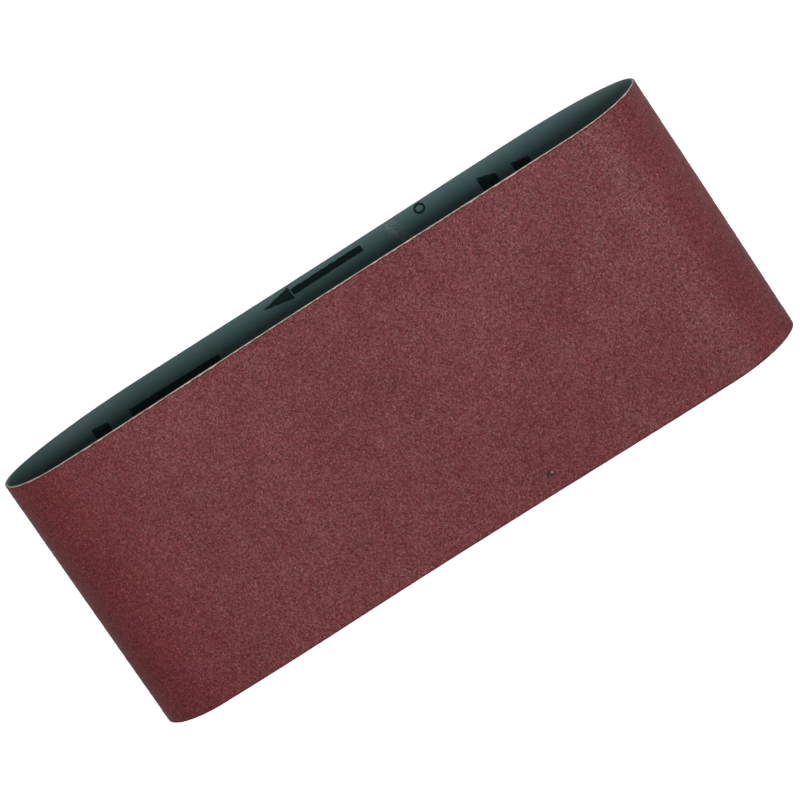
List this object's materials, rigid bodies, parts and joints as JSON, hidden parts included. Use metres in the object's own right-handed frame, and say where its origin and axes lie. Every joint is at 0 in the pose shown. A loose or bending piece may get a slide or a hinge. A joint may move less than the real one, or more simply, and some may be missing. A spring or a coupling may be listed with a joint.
{
  "type": "sanding belt",
  "caption": "Endless cloth-backed sanding belt standing on its edge, with red-brown grit outside, a dark printed back inside and a slanted lap joint.",
  "frame": {"origin": "on the standing edge, under the middle of the loop", "axes": "+X along the flattened loop, +Y from the front run to the rear run, +Z across the belt's width"},
  "size_m": [0.255, 0.054, 0.1],
  "materials": {
    "cloth": "undyed X-weight cotton and polyester cloth, pale at its cut edges",
    "back_coat": "dark blue-green filled cloth, matte with a fine twill grain",
    "adhesive": "amber joint adhesive",
    "make_coat": "dark red-brown bond resin",
    "grain": "red-brown aluminium oxide grit, sharp and fine",
    "size_coat": "thin red-brown resin over the grit, satin",
    "ink": "matte black printing ink, worn by the weave"
  },
  "bodies": {
    "root": {"cloth_backing": "cloth", "back_coat": "back_coat", "lap_adhesive": "adhesive", "make_coat": "make_coat", "abrasive_grain": "grain", "size_coat": "size_coat", "arrow_head_rear": "ink", "arrow_shaft_rear": "ink", "arrow_head_front": "ink", "arrow_shaft_front": "ink", "ink_small_rear": "ink", "ink_square_rear": "ink", "ink_tall_rear": "ink", "ink_end_rear": "ink", "ink_long_rear": "ink", "ink_small_front": "ink", "ink_square_front": "ink", "ink_tall_front": "ink", "ink_end_front": "ink", "ink_long_front": "ink"}
  },
  "joints": []
}
